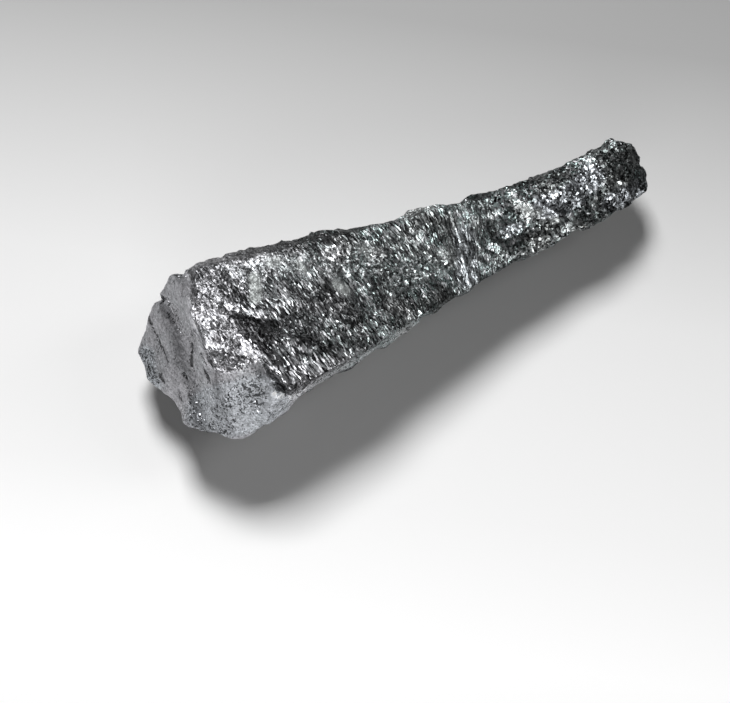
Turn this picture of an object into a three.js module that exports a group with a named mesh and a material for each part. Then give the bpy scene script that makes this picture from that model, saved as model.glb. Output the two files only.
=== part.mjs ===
// A lump of silicon metal, broken from a cast slab: a club-shaped wedge with a broad end and a
// knobbly tip, lying on a flat patch of its cast skin. X runs from the broad end to the tip,
// Y across the lump, Z up. Everything is in millimetres.
//
// The lump is drawn as ten long lines that run from the broad end to the tip, joined strip by strip
// into a coarse hull. The hull is then split into small triangles and given its relief: crystals
// broken along their length, ledges, a gouge, slots in the broad end and knobs on the tip.
import * as THREE from "three";

// The long lines, each with one [x, y, z] point for each of 15 stations from the broad end to the tip.
// Stations 0 to 2 are the sloping broken end, and the last stations round off the tip.
const LINES = {
  shoulder: [
    [-50, 18, 13], [-45, 18.5, 27], [-41, 16.5, 29.5], [-32.5, 14.5, 30.5], [-25.5, 14, 30],
    [-14.5, 12.5, 28.5], [-5, 9.5, 26.5], [6.5, 7.5, 24.5], [18, 6.5, 22.5], [31, 5, 20],
    [38.5, 4.5, 18.5], [48.5, 5, 17], [57, 6, 16.5], [61, 4, 15], [62.5, 1, 12.5],
  ],
  rim: [
    [-50.5, 18, 17], [-45, 15.5, 28.5], [-41, 14.5, 32.5], [-34, 12, 34], [-26.5, 10.5, 33.5],
    [-16.5, 9, 32], [-6, 7.5, 30], [5, 6, 27.5], [17, 5, 25], [30, 3.5, 22],
    [37.5, 3, 20.5], [47, 3.5, 19.5], [55.5, 4, 19.5], [59.5, 2.5, 17.5], [61.5, -1, 13.5],
  ],
  crown: [
    [-57, 12.5, 11], [-48.5, 6.5, 25], [-46, 3, 32.5], [-37.5, 0, 33], [-30, -2.5, 32],
    [-20.5, -4.5, 30], [-10, -5, 28.5], [2.5, -4, 26.5], [14, -4.5, 24], [28.5, -4.5, 21.5],
    [36.5, -4, 20.5], [45, -3.5, 19.5], [52, -3.5, 19], [58, -3, 17], [62.5, -4, 13],
  ],
  brow: [
    [-59, 3.5, 11], [-52, -4.5, 21], [-47, -7, 30], [-39.5, -10, 30.5], [-37, -17.5, 27.5],
    [-26, -17, 27], [-12, -16, 25.5], [0, -13.5, 23.5], [11.5, -12.5, 21.5], [27, -10.5, 19],
    [35, -10, 18], [43, -10, 17], [49.5, -9.5, 16.5], [55.5, -8.5, 15], [60.5, -7, 12.5],
  ],
  lip: [
    [-56, -3, 12], [-56, -10, 15], [-53.5, -14, 17.5], [-48, -19.5, 19], [-42.5, -20, 21.5],
    [-26, -17.5, 23.5], [-11.5, -16, 22.5], [0.5, -13.5, 21.5], [12, -12, 20], [27.5, -10.5, 17.5],
    [35.5, -10, 16.5], [43.5, -9.5, 15.5], [50, -9.5, 15], [56.5, -8.5, 13.5], [60.5, -7, 11.5],
  ],
  frontWall: [
    [-55.5, 0.5, 8], [-53, -5, 8.5], [-49.5, -9.5, 9], [-45, -14, 9], [-39, -14.5, 11],
    [-24.5, -11.5, 12.5], [-10, -10.5, 10], [3, -8, 11.5], [14, -7.5, 9], [29, -6, 9.5],
    [37, -5.5, 9], [44.5, -6, 9], [51, -6.5, 10], [56.5, -6.5, 10], [60, -6, 10],
  ],
  frontFoot: [
    [-53.5, 3, 4.5], [-50.5, -1, 3], [-47, -5, 1.5], [-43, -9.5, 0], [-35, -11, 0],
    [-22, -7, 0], [-8, -7.5, 0], [4, -4.5, 0], [15.5, -4.5, 0], [27, -2, 0],
    [37, -3.5, 1.5], [45.5, -3, 3], [51.5, -4, 4], [56, -4.5, 6.5], [58.5, -5, 8.5],
  ],
  keel: [
    [-52.5, 8.5, 3.5], [-49, 8, 1.5], [-44.5, 8, 0.5], [-38, 6, 0], [-31, 5, 0],
    [-18, 5, 0], [-5.5, 4.5, 0], [6, 4, 0], [17.5, 3.5, 0], [27, 3, 0],
    [38.5, 2.5, 1.5], [47, 2, 2.5], [54, 1.5, 3.5], [58, 0, 5.5], [60, -2.5, 8.5],
  ],
  backFoot: [
    [-51.5, 14, 5], [-47.5, 17, 3], [-41.5, 19.5, 1.5], [-33, 20.5, 0], [-24, 18.5, 0],
    [-14, 18, 0], [-3, 14.5, 0], [8, 14, 0], [19.5, 11, 0], [28, 8, 0],
    [39, 8, 2.5], [48, 6, 4], [55, 5.5, 5.5], [59, 3.5, 7], [61, 0, 9.5],
  ],
  backWall: [
    [-52.5, 16.5, 8.5], [-48.5, 19, 12], [-42, 20.5, 14], [-34, 19.5, 16.5], [-24, 19, 13],
    [-13.5, 16, 15.5], [-2.5, 14.5, 11.5], [8, 12, 13.5], [19.5, 11, 10], [32, 7.5, 11.5],
    [39.5, 8, 9.5], [49, 7, 10], [57, 7, 10.5], [61.5, 4, 10.5], [62, 0.5, 10.5],
  ],
};
// The middle of the hollow left at each end once the strips are joined.
const END_CENTRE = [-56.5, 11.5, 7.5];
const TIP_CENTRE = [63, -3, 11];

// What each strip between two neighbouring lines is, in the order of LINES and then back to the first.
const STRIPS = ["brink", "face", "face", "lip", "flank", "flank", "bed", "bed", "back", "back"];
const VISIBLE_STRIPS = 4;
const END_STATIONS = 2; // the first strips up to this station are the broken end
const CORNER_STATIONS = 4; // the lip strip up to this station is the pale corner below the end
const BED_STATIONS = [3, 9]; // the bed is flat between these stations
const BED_CLEARANCE = 0.3; // nothing else comes lower than this

// For each kind of surface: the longest triangle edge, and how far its broken crystals and the larger
// ledges stand out.
const SURFACES = {
  face: { edge: 2.15, crystals: 0.5, ledges: 0.5 },
  brink: { edge: 2.4, crystals: 0.3, ledges: 0.2 },
  end: { edge: 2.0, crystals: 0.3, ledges: 0.45 },
  corner: { edge: 2.1, crystals: 0.25, ledges: 0.35 },
  lip: { edge: 2.6, crystals: 0.2, ledges: 0.3 },
  flank: { edge: 3, crystals: 0.9, ledges: 1.0 },
  back: { edge: 3, crystals: 1.0, ledges: 1.3 },
  belly: { edge: 3.3, crystals: 0.6, ledges: 0.7 },
  bed: { edge: 7, crystals: 0, ledges: 0 },
};

const HOLLOWED = ["flank", "back", "belly"];

// The crystals run across the lump and fan out a little towards the tip. The surface has broken along
// them at two sizes: [length, width] of the crystals and of the ledges that whole groups of them leave.
const CRYSTAL = [7.5, 3.3];
const LEDGE = [15, 6.5];
const LAY_AT_END = 0.19; // how far the crystals lean along X for each millimetre across
const LAY_AT_TIP = -0.26;
const FAN_FROM = -20;
const FAN_TO = 20;

const KNOB_SIZE = 5.2;
const KNOB_HEIGHT = 1.15;
const KNOBS_FROM = 26; // the knobs of the tip grow from here on
const KNOBS_FULL = 58;

// The gouge in the main face: a wedge that starts at a point and widens towards the lip. Its walls take
// up the outer share of its width, and it fades in and out over a share of its length at each end.
const GOUGE = {
  tip: [-38.5, 1.5], end: [-26, -15], halfWidth: 5.2, atTip: 0.15, depth: 1.6, walls: 0.45, fade: 0.2,
};

// The step between the two levels of the broken end.
const END_STEP = { from: [-49, 17.5], to: [-52.5, -5], height: 0.9, width: 1.1 };

// Shell-like hollows where flakes broke off: the centre of each, its radius and its depth.
const HOLLOWS = [
  { centre: [-41, 20, 10], radius: 10, depth: 1.8 },
  { centre: [-19, 17, 22], radius: 9, depth: 1.5 },
  { centre: [-1, 16, 6], radius: 8, depth: 1.6 },
  { centre: [24, 10, 14], radius: 9, depth: 1.5 },
  { centre: [-31, -13, 10], radius: 9, depth: 1.7 },
  { centre: [-4, -11, 13], radius: 8, depth: 1.2 },
  { centre: [19, -8, 9], radius: 8.5, depth: 1.4 },
  { centre: [-47, -4, 4], radius: 8, depth: 1.3 },
  { centre: [44, 1, 2], radius: 7, depth: 1.2 },
];

// Open slots along the crystals of the broken end: the centre of each, its length, half its width and
// its depth.
const SLOTS = [
  { centre: [-52.5, 10.5, 19], length: 4.5, half: 0.9, depth: 0.8 },
  { centre: [-54.5, 5, 16], length: 5, half: 0.8, depth: 0.7 },
  { centre: [-48.5, 1.5, 25.5], length: 4, half: 1.1, depth: 1.0 },
  { centre: [-53, -2, 18.5], length: 3.5, half: 0.8, depth: 0.6 },
  { centre: [-47.5, -9.5, 25.5], length: 3, half: 1.0, depth: 0.5 },
];

// An edge that is split is split somewhere in this middle share of it.
const SPLIT_FROM = 0.42;
const SPLIT_TO = 0.58;

// The relief turns no triangle by more than 60 degrees: there it is lowered step by step.
const LEAST_TURN_COSINE = 0.5;
const MOVE_LESS = 0.8;

const SEEDS = { crystals: 11, ledges: 23, knobs: 41, splits: 7 };

// Large odd numbers that mix the bits of a cell's place into a random number.
const CELL_PRIMES = [374761393, 668265263, 2147483647, 974711];
const MIX_PRIMES = [2246822519, 3266489917];
const RANDOM_RANGE = 2 ** 32;

// A repeatable random number from 0 to 1 for a whole-number cell and a channel.
function random(...cell) {
  let h = cell.reduce((sum, n, i) => sum ^ Math.imul(n, CELL_PRIMES[i]), 0);
  h = Math.imul(h ^ (h >>> 15), MIX_PRIMES[0]);
  h = Math.imul(h ^ (h >>> 13), MIX_PRIMES[1]);
  return ((h ^ (h >>> 16)) >>> 0) / RANDOM_RANGE;
}

// Tilted flats: space is parted into random cells, and each cell is cut to its own slant.
function flats(p, seed) {
  let nearest = Infinity;
  let height = 0;
  const base = [Math.floor(p.x), Math.floor(p.y), Math.floor(p.z)];
  for (let i = -1; i <= 1; i++) {
    for (let j = -1; j <= 1; j++) {
      for (let k = -1; k <= 1; k++) {
        const [ix, iy, iz] = [base[0] + i, base[1] + j, base[2] + k];
        const away = new THREE.Vector3(
          p.x - ix - random(ix, iy, iz, seed),
          p.y - iy - random(ix, iy, iz, seed + 1),
          p.z - iz - random(ix, iy, iz, seed + 2),
        );
        const distance = away.length();
        if (distance < nearest) {
          nearest = distance;
          const slant = new THREE.Vector3(
            random(ix, iy, iz, seed + 3) - 0.5,
            random(ix, iy, iz, seed + 4) - 0.5,
            random(ix, iy, iz, seed + 5) - 0.5,
          );
          height = 2 * away.dot(slant) + random(ix, iy, iz, seed + 6) - 0.5;
        }
      }
    }
  }
  return height;
}

const smooth = THREE.MathUtils.smoothstep;

// The direction in which the crystals lie at a point.
function layAt(p) {
  const share = smooth(p.x, FAN_FROM, FAN_TO);
  return new THREE.Vector3(THREE.MathUtils.lerp(LAY_AT_END, LAY_AT_TIP, share), -1, 0).normalize();
}

// Flats that are drawn out along the crystals.
function alongLay(p, [length, width], seed) {
  const lay = layAt(p);
  const side = new THREE.Vector3(0, 0, 1).cross(lay);
  return flats(new THREE.Vector3(p.dot(lay) / length, p.dot(side) / width, p.z / width), seed);
}

function knobs(p) {
  const q = p.clone().divideScalar(KNOB_SIZE);
  return KNOB_HEIGHT * smooth(p.x, KNOBS_FROM, KNOBS_FULL) * flats(q, SEEDS.knobs);
}

// How far a point in plan lies along a line from one point to another, from 0 to 1, and how far beside it.
function alongLine(p, from, to) {
  const line = new THREE.Vector2(to[0] - from[0], to[1] - from[1]);
  const here = new THREE.Vector2(p.x - from[0], p.y - from[1]);
  return { share: here.dot(line) / line.lengthSq(), beside: line.cross(here) / line.length() };
}

function gougeDepth(p) {
  const { share, beside } = alongLine(p, GOUGE.tip, GOUGE.end);
  const half = GOUGE.halfWidth * THREE.MathUtils.clamp(share, GOUGE.atTip, 1);
  const inside = smooth(1 - Math.abs(beside) / half, 0, GOUGE.walls);
  const fadedIn = smooth(share, 0, GOUGE.fade);
  const fadedOut = smooth(share, 1 - GOUGE.fade, 1 + GOUGE.fade);
  return GOUGE.depth * inside * fadedIn * (1 - fadedOut);
}

function hollowDepth(p) {
  let depth = 0;
  for (const hollow of HOLLOWS) {
    const away = p.distanceTo(new THREE.Vector3(...hollow.centre)) / hollow.radius;
    depth = Math.max(depth, hollow.depth * (1 - away * away));
  }
  return depth;
}

function endStep(p) {
  const { beside } = alongLine(p, END_STEP.from, END_STEP.to);
  return END_STEP.height * smooth(beside, -END_STEP.width, END_STEP.width);
}

function slotDepth(p) {
  const lay = layAt(p);
  let depth = 0;
  for (const slot of SLOTS) {
    const away = p.clone().sub(new THREE.Vector3(...slot.centre));
    const along = away.dot(lay);
    const beside = away.addScaledVector(lay, -along).length();
    const inside = 1 - (along / (slot.length / 2)) ** 2 - (beside / slot.half) ** 2;
    depth = Math.max(depth, slot.depth * inside);
  }
  return depth;
}

// The height of the surface over the plain hull at a point, for one kind of surface.
function reliefAt(p, kind) {
  const { crystals, ledges } = SURFACES[kind];
  let height = crystals * alongLay(p, CRYSTAL, SEEDS.crystals) + ledges * alongLay(p, LEDGE, SEEDS.ledges);
  if (kind === "face") height -= gougeDepth(p);
  if (kind === "end") height -= slotDepth(p) + endStep(p);
  if (HOLLOWED.includes(kind)) height -= hollowDepth(p);
  if (kind !== "bed") height += knobs(p);
  return height;
}

// The kind of surface between a line and the next, and between a station and the next.
function kindOf(line, station) {
  const strip = STRIPS[line];
  if (line < VISIBLE_STRIPS && station < END_STATIONS) return "end";
  if (strip === "lip" && station < CORNER_STATIONS) return "corner";
  if (strip === "bed" && (station < BED_STATIONS[0] || station >= BED_STATIONS[1])) return "belly";
  return strip;
}

// The coarse hull: points, and triangles as { corners, kind }.
function hull() {
  const lines = Object.values(LINES);
  const stations = lines[0].length;
  const points = lines.flat().map((p) => new THREE.Vector3(...p));
  const at = (line, station) => (line % lines.length) * stations + station;
  const triangles = [];
  lines.forEach((_, line) => {
    for (let s = 0; s < stations - 1; s++) {
      const kind = kindOf(line, s);
      const [a, b] = [at(line, s), at(line, s + 1)];
      const [d, c] = [at(line + 1, s), at(line + 1, s + 1)];
      const shorter = points[a].distanceTo(points[c]) < points[b].distanceTo(points[d]);
      const halves = shorter ? [[a, d, c], [a, c, b]] : [[a, d, b], [b, d, c]];
      halves.forEach((corners) => triangles.push({ corners, kind }));
    }
  });
  const end = points.push(new THREE.Vector3(...END_CENTRE)) - 1;
  const tip = points.push(new THREE.Vector3(...TIP_CENTRE)) - 1;
  lines.forEach((_, line) => {
    triangles.push({ corners: [at(line + 1, 0), at(line, 0), end], kind: "belly" });
    triangles.push({ corners: [at(line, stations - 1), at(line + 1, stations - 1), tip], kind: "flank" });
  });
  return { points, triangles };
}

const NOT_SPLIT_YET = -1;

function edgeKey(a, b) {
  return a < b ? a + "," + b : b + "," + a;
}

// Splits the longest edge of every triangle that is too long for its kind of surface, until none is left.
function refine({ points, triangles }) {
  for (;;) {
    const marked = new Map();
    for (const { corners, kind } of triangles) {
      const [a, b, c] = corners;
      const lengths = [[a, b], [b, c], [c, a]].map(([p, q]) => points[p].distanceTo(points[q]));
      const longest = lengths.indexOf(Math.max(...lengths));
      if (lengths[longest] > SURFACES[kind].edge) {
        marked.set(edgeKey(corners[longest], corners[(longest + 1) % 3]), NOT_SPLIT_YET);
      }
    }
    if (!marked.size) return { points, triangles };
    triangles = triangles.flatMap((triangle) => halve(triangle, points, marked));
  }
}

// Halves a triangle at each of its marked edges in turn, the longest of them first. The map of marked
// edges keeps the new point in the middle of each.
function halve(face, points, marked) {
  const { corners, kind } = face;
  let best = -1;
  let bestLength = 0;
  for (let i = 0; i < 3; i++) {
    const [p, q] = [corners[i], corners[(i + 1) % 3]];
    const length = points[p].distanceTo(points[q]);
    if (marked.has(edgeKey(p, q)) && length > bestLength) {
      best = i;
      bestLength = length;
    }
  }
  if (best < 0) return [face];
  const [p, q, r] = [corners[best], corners[(best + 1) % 3], corners[(best + 2) % 3]];
  const edge = edgeKey(p, q);
  if (marked.get(edge) === NOT_SPLIT_YET) {
    const [low, high] = p < q ? [p, q] : [q, p];
    const share = THREE.MathUtils.lerp(SPLIT_FROM, SPLIT_TO, random(low, high, 0, SEEDS.splits));
    marked.set(edge, points.push(points[low].clone().lerp(points[high], share)) - 1);
  }
  const middle = marked.get(edge);
  return [
    ...halve({ corners: [p, middle, r], kind }, points, marked),
    ...halve({ corners: [middle, q, r], kind }, points, marked),
  ];
}

// The unit normal of a triangle, and twice its area.
function facing(points, corners) {
  const [a, b, c] = corners.map((i) => points[i]);
  const normal = b.clone().sub(a).cross(c.clone().sub(a));
  const area = normal.length();
  return { normal: normal.divideScalar(area), area };
}

// How far each point moves: along the mean normal of its surfaces, by their mean relief. The bed stays.
function movesOf({ points, triangles }) {
  const sums = points.map(() => ({ normal: new THREE.Vector3(), relief: 0, area: 0, onBed: false }));
  for (const { corners, kind } of triangles) {
    const { normal, area } = facing(points, corners);
    for (const i of corners) {
      const sum = sums[i];
      sum.normal.addScaledVector(normal, area);
      sum.area += area;
      sum.relief += area * reliefAt(points[i], kind);
      sum.onBed ||= kind === "bed";
    }
  }
  return sums.map(({ normal, relief, area, onBed }) => normal.setLength(onBed ? 0 : relief / area));
}

// Gives the refined hull its relief. Where a triangle would turn too far, its corners move less.
function carve({ points, triangles }) {
  const moves = movesOf({ points, triangles });
  const before = triangles.map(({ corners }) => facing(points, corners).normal);
  for (;;) {
    const carved = points.map((p, i) => p.clone().add(moves[i]));
    carved.filter((_, i) => moves[i].lengthSq() > 0).forEach((p) => p.setZ(Math.max(p.z, BED_CLEARANCE)));
    const turned = triangles.filter(({ corners }, t) => {
      return facing(carved, corners).normal.dot(before[t]) < LEAST_TURN_COSINE;
    });
    if (!turned.length) return carved;
    new Set(turned.flatMap(({ corners }) => corners)).forEach((i) => moves[i].multiplyScalar(MOVE_LESS));
  }
}

function lumpGeometry() {
  const refined = refine(hull());
  const carved = carve(refined);
  const geometry = new THREE.BufferGeometry();
  geometry.setAttribute("position", new THREE.Float32BufferAttribute(carved.flatMap((p) => p.toArray()), 3));
  geometry.setIndex(refined.triangles.flatMap(({ corners }) => corners));
  geometry.computeVertexNormals();
  geometry.computeBoundingBox();
  // The origin is on the bed's plane, below the middle of the lump.
  const { min, max } = geometry.boundingBox;
  return geometry.translate(-(min.x + max.x) / 2, -(min.y + max.y) / 2, -min.z);
}

const silicon = new THREE.MeshStandardMaterial({ color: 0x8c8e92, roughness: 0.35, metalness: 1 });
const lump = new THREE.Mesh(lumpGeometry(), silicon);
lump.name = "silicon_lump";

const group = new THREE.Group();
group.add(lump);
export default group;
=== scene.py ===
"""A broken lump of silicon metal on a pale floor.

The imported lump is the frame: its mesh is split finer and broken into crystals, and its surface gets a
metal whose crystals each lie at their own slant. Lengths are in millimetres until they reach Blender.
"""
import itertools
import math

import bmesh
import bpy
import numpy as np
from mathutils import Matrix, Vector


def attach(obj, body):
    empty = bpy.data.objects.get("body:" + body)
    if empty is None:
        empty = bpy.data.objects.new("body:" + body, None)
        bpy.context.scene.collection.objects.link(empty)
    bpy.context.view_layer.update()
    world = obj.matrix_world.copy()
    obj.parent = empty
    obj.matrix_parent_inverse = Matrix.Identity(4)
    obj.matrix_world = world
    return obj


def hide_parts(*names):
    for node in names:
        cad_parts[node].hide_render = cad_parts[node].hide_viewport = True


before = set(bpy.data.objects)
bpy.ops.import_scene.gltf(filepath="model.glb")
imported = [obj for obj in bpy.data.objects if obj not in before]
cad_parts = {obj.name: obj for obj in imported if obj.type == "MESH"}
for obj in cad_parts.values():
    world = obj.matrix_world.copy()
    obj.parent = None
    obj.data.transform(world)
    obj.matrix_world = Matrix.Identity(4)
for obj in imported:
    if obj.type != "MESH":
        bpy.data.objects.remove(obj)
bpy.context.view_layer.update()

MM = 0.001

# Where the drawing's origin lies in the lump's own frame, whose origin is the middle of its box. The
# places below are in the drawing: X from the broad end to the tip, Y across the lump, Z up.
DRAWING_ORIGIN = np.array([-1.854, -0.372, 0.0])

# ---------------------------------------------------------------- camera
CAMERA_AZIMUTH = math.radians(-27.5)
CAMERA_ELEVATION = math.radians(70)
CAMERA_DISTANCE = 455
CAMERA_LENS = 100
SENSOR_WIDTH = 36
CLIP_START = 1
CAMERA_TARGET = np.array([-12.0, -8.0, 0.0]) + DRAWING_ORIGIN
FRAME_WIDTH = 730
FRAME_HEIGHT = 703


def direction(azimuth, elevation):
    """The unit vector from the lump towards a compass direction, 0 being in front of it, at -Y."""
    level = math.cos(elevation)
    return Vector((math.sin(azimuth) * level, -math.cos(azimuth) * level, math.sin(elevation)))


def aim(thing, azimuth, elevation, distance, target):
    """Puts a camera or light at a distance from a target, in millimetres, and turns it to face that."""
    back = direction(azimuth, elevation)
    thing.location = (Vector(target) + back * distance) * MM
    thing.rotation_euler = (-back).to_track_quat("-Z", "Y").to_euler()


def add_camera():
    data = bpy.data.cameras.new("camera")
    data.lens = CAMERA_LENS
    data.sensor_width = SENSOR_WIDTH
    data.clip_start = CLIP_START * MM
    camera = bpy.data.objects.new("camera", data)
    bpy.context.scene.collection.objects.link(camera)
    aim(camera, CAMERA_AZIMUTH, CAMERA_ELEVATION, CAMERA_DISTANCE, CAMERA_TARGET)
    bpy.context.scene.camera = camera


# ---------------------------------------------------------------- node helpers
def new_material(name):
    material = bpy.data.materials.new(name)
    material.use_nodes = True
    material.node_tree.nodes.clear()
    return material, material.node_tree


def node(tree, kind, settings=None, **inputs):
    """Adds a node. Settings are its properties. Inputs are values, or sockets of other nodes to link, each
    under the name of its socket, or under i and its number."""
    made = tree.nodes.new(kind)
    for key, value in (settings or {}).items():
        setattr(made, key, value)
    for key, value in inputs.items():
        place = int(key[1:]) if key[0] == "i" and key[1:].isdigit() else key.replace("_", " ")
        socket = made.inputs[place]
        if isinstance(value, bpy.types.NodeSocket):
            tree.links.new(value, socket)
        else:
            socket.default_value = value
    return made


def maths(tree, operation, a, b=0.0, c=0.0, clamp=False):
    settings = {"operation": operation, "use_clamp": clamp}
    return node(tree, "ShaderNodeMath", settings, i0=a, i1=b, i2=c).outputs[0]


def product(tree, first, *others):
    for other in others:
        first = maths(tree, "MULTIPLY", first, other)
    return first


def gained(tree, value, share, gain):
    """The value times 1 + gain where the share is 1, and the value itself where it is 0."""
    return product(tree, value, maths(tree, "MULTIPLY_ADD", share, gain, 1.0))


def vector_maths(tree, operation, a, b=(0.0, 0.0, 0.0)):
    return node(tree, "ShaderNodeVectorMath", {"operation": operation}, i0=a, i1=b).outputs[0]


def scaled(tree, vector, factor):
    return node(tree, "ShaderNodeVectorMath", {"operation": "SCALE"}, i0=vector, Scale=factor).outputs[0]


def dot(tree, a, b):
    return node(tree, "ShaderNodeVectorMath", {"operation": "DOT_PRODUCT"}, i0=a, i1=b).outputs["Value"]


def mixed(tree, share, a, b):
    """One number out of two: a where the share is 0, b where it is 1."""
    return node(tree, "ShaderNodeMix", {"data_type": "FLOAT"}, i0=share, i2=a, i3=b).outputs[0]


def mixed_vector(tree, share, a, b):
    return node(tree, "ShaderNodeMix", {"data_type": "VECTOR"}, i0=share, i4=a, i5=b).outputs[1]


def mixed_colour(tree, share, a, b, blend="MIX"):
    settings = {"data_type": "RGBA", "blend_type": blend}
    return node(tree, "ShaderNodeMix", settings, i0=share, i6=a, i7=b).outputs[2]


def ramp(tree, factor, stops):
    """A grey ramp: stops are (place, grey)."""
    made = node(tree, "ShaderNodeValToRGB", Fac=factor)
    elements = made.color_ramp.elements
    while len(elements) < len(stops):
        elements.new(0.5)
    for element, (place, grey) in zip(elements, stops):
        element.position = place
        element.color = (grey, grey, grey, 1)
    return made.outputs[0]


def attribute(tree, name, output="Fac"):
    return node(tree, "ShaderNodeAttribute", {"attribute_name": name}).outputs[output]


def spread(tree, value, low, high, to_low=0.0, to_high=1.0):
    """Maps a number from one range to another, and keeps it in that."""
    return node(tree, "ShaderNodeMapRange", i0=value, i1=low, i2=high, i3=to_low, i4=to_high).outputs[0]


def centred(tree, colour):
    """Turns three random numbers from 0 to 1 into a vector about zero."""
    return vector_maths(tree, "SUBTRACT", colour, (0.5,) * 3)


# ---------------------------------------------------------------- floor and light
FLOOR_SIZE = 6000
FLOOR_ROUGHNESS = 0.6
# The floor is pale and darkens towards the back right, from one distance to the other, as painted shade
# where the light falls off.
FLOOR_SHADE_GREYS = [(0.0, 0.95), (0.16, 0.82), (0.42, 0.67), (0.79, 0.29), (1.0, 0.22)]
FADE_AZIMUTH = math.radians(144)
FADE_FROM = -80
FADE_TO = 110


def add_floor():
    mesh = bpy.data.meshes.new("floor")
    half = FLOOR_SIZE / 2 * MM
    corners = [(-half, -half, 0), (half, -half, 0), (half, half, 0), (-half, half, 0)]
    mesh.from_pydata(corners, [], [(0, 1, 2, 3)])
    floor = bpy.data.objects.new("floor", mesh)
    bpy.context.scene.collection.objects.link(floor)
    material, tree = new_material("floor")
    place = node(tree, "ShaderNodeTexCoord").outputs["Object"]
    share = spread(tree, dot(tree, place, direction(FADE_AZIMUTH, 0)), FADE_FROM * MM, FADE_TO * MM)
    grey = ramp(tree, share, FLOOR_SHADE_GREYS)
    shader = node(tree, "ShaderNodeBsdfPrincipled", Base_Color=grey, Roughness=FLOOR_ROUGHNESS)
    node(tree, "ShaderNodeOutputMaterial", Surface=shader.outputs[0])
    mesh.materials.append(material)


# Each light: its azimuth and elevation seen from the lump in degrees, its distance, width and height in
# millimetres, and its power in watts.
LIGHTS = {
    "key": (165, 58, 1000, 330, 330, 11.5),
    "side": (75, 38, 1000, 250, 500, 1.6),
    "front": (-35, 28, 1000, 700, 350, 1.95),
}
WORLD_GREY = 0.018
KEY_DIRECTION = [math.radians(angle) for angle in LIGHTS["key"][:2]]


def add_light():
    for name, (azimuth, elevation, distance, width, height, watts) in LIGHTS.items():
        data = bpy.data.lights.new(name, "AREA")
        data.shape = "RECTANGLE"
        data.size = width * MM
        data.size_y = height * MM
        data.energy = watts
        light = bpy.data.objects.new(name, data)
        bpy.context.scene.collection.objects.link(light)
        aim(light, math.radians(azimuth), math.radians(elevation), distance, (0, 0, 0))
    world = bpy.data.worlds.new("world")
    world.use_nodes = True
    world.node_tree.nodes["Background"].inputs[0].default_value = (WORLD_GREY,) * 3 + (1,)
    bpy.context.scene.world = world


# ---------------------------------------------------------------- crystals
# The crystals run across the lump and fan out a little towards the tip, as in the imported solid.
LAY_AT_END = 0.19
LAY_AT_TIP = -0.26
FAN_FROM = 0
FAN_TO = 20
TIP_FROM = 8  # from here on the crystals get short and blocky
TIP_FULL = 34


def smoothstep(value, low, high):
    share = np.clip((value - low) / (high - low), 0, 1)
    return share * share * (3 - 2 * share)


def lay_coordinates(points):
    """Each point as how far it lies along the crystals, beside them and up."""
    lean = LAY_AT_END + (LAY_AT_TIP - LAY_AT_END) * smoothstep(points[:, 0], FAN_FROM, FAN_TO)
    lay = np.stack([lean, -np.ones_like(lean)], 1)
    lay /= np.linalg.norm(lay, axis=1, keepdims=True)
    along = (points[:, :2] * lay).sum(1)
    beside = points[:, 1] * lay[:, 0] - points[:, 0] * lay[:, 1]
    return np.stack([along, beside, points[:, 2]], 1)


# A hash of whole numbers: large odd factors, and shifts that are each followed by one of them.
HASH_FACTORS = np.array([0x9E3779B1, 0x85EBCA77, 0xC2B2AE3D, 0x27D4EB2F], np.uint64)
HASH_STEPS = [(np.uint64(15), HASH_FACTORS[3]), (np.uint64(13), HASH_FACTORS[1])]
LAST_SHIFT = np.uint64(16)
LOW_BITS = np.uint64(0xFFFFFFFF)
# The random numbers of a cell, counted from its seed: three for its centre, three for its slant, and one
# for its level.
CENTRE_CHANNEL = 0
SLANT_CHANNEL = 3
LEVEL_CHANNEL = 6


def random(cells, channel):
    """A repeatable random number from 0 to 1 for each whole-number cell."""
    number = (cells.astype(np.int64).astype(np.uint64) * HASH_FACTORS[:3]).sum(-1, dtype=np.uint64)
    number = (number + np.uint64(channel) * HASH_FACTORS[3]) & LOW_BITS
    for shift, factor in HASH_STEPS:
        number = ((number ^ (number >> shift)) * factor) & LOW_BITS
    number ^= number >> LAST_SHIFT
    return number / (float(LOW_BITS) + 1)


def random_vector(cells, channel):
    return np.stack([random(cells, channel + axis) for axis in range(3)], 1)


def flats(points, seed):
    """Cuts space into random cells about 1 wide, each with its own slant and level, and gives the height
    at each point."""
    base = np.floor(points)
    nearest = np.full(len(points), np.inf)
    owner = np.zeros_like(points)
    away = np.zeros_like(points)
    for step in itertools.product((-1, 0, 1), repeat=3):
        cell = base + step
        offset = points - (cell + random_vector(cell, seed + CENTRE_CHANNEL))
        distance = np.linalg.norm(offset, axis=1)
        closer = distance < nearest
        nearest[closer] = distance[closer]
        owner[closer] = cell[closer]
        away[closer] = offset[closer]
    slant = random_vector(owner, seed + SLANT_CHANNEL) - 0.5
    return 2 * (away * slant).sum(1) + random(owner, seed + LEVEL_CHANNEL) - 0.5


# ---------------------------------------------------------------- marks seen in the frame
# The marks below are strokes over the lump as the camera sees it: (width, share, [places]). The share says
# how strong the mark is. Widths and places are in pixels of the 730 x 703 frame, X to the right and Y
# down, at about 4.4 pixels to 1 mm.

# The edge of the main face: down the ridge beside the broad end, and on along the lip.
MAIN_FACE_EDGE = [
    (188, 262), (191, 285), (191, 312), (199, 330), (204, 350), (209, 365), (221, 372), (240, 371),
    (251, 365), (260, 361), (269, 378), (279, 393), (292, 396), (303, 391), (315, 382), (345, 363),
    (380, 343), (420, 318), (432, 311),
]
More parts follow.
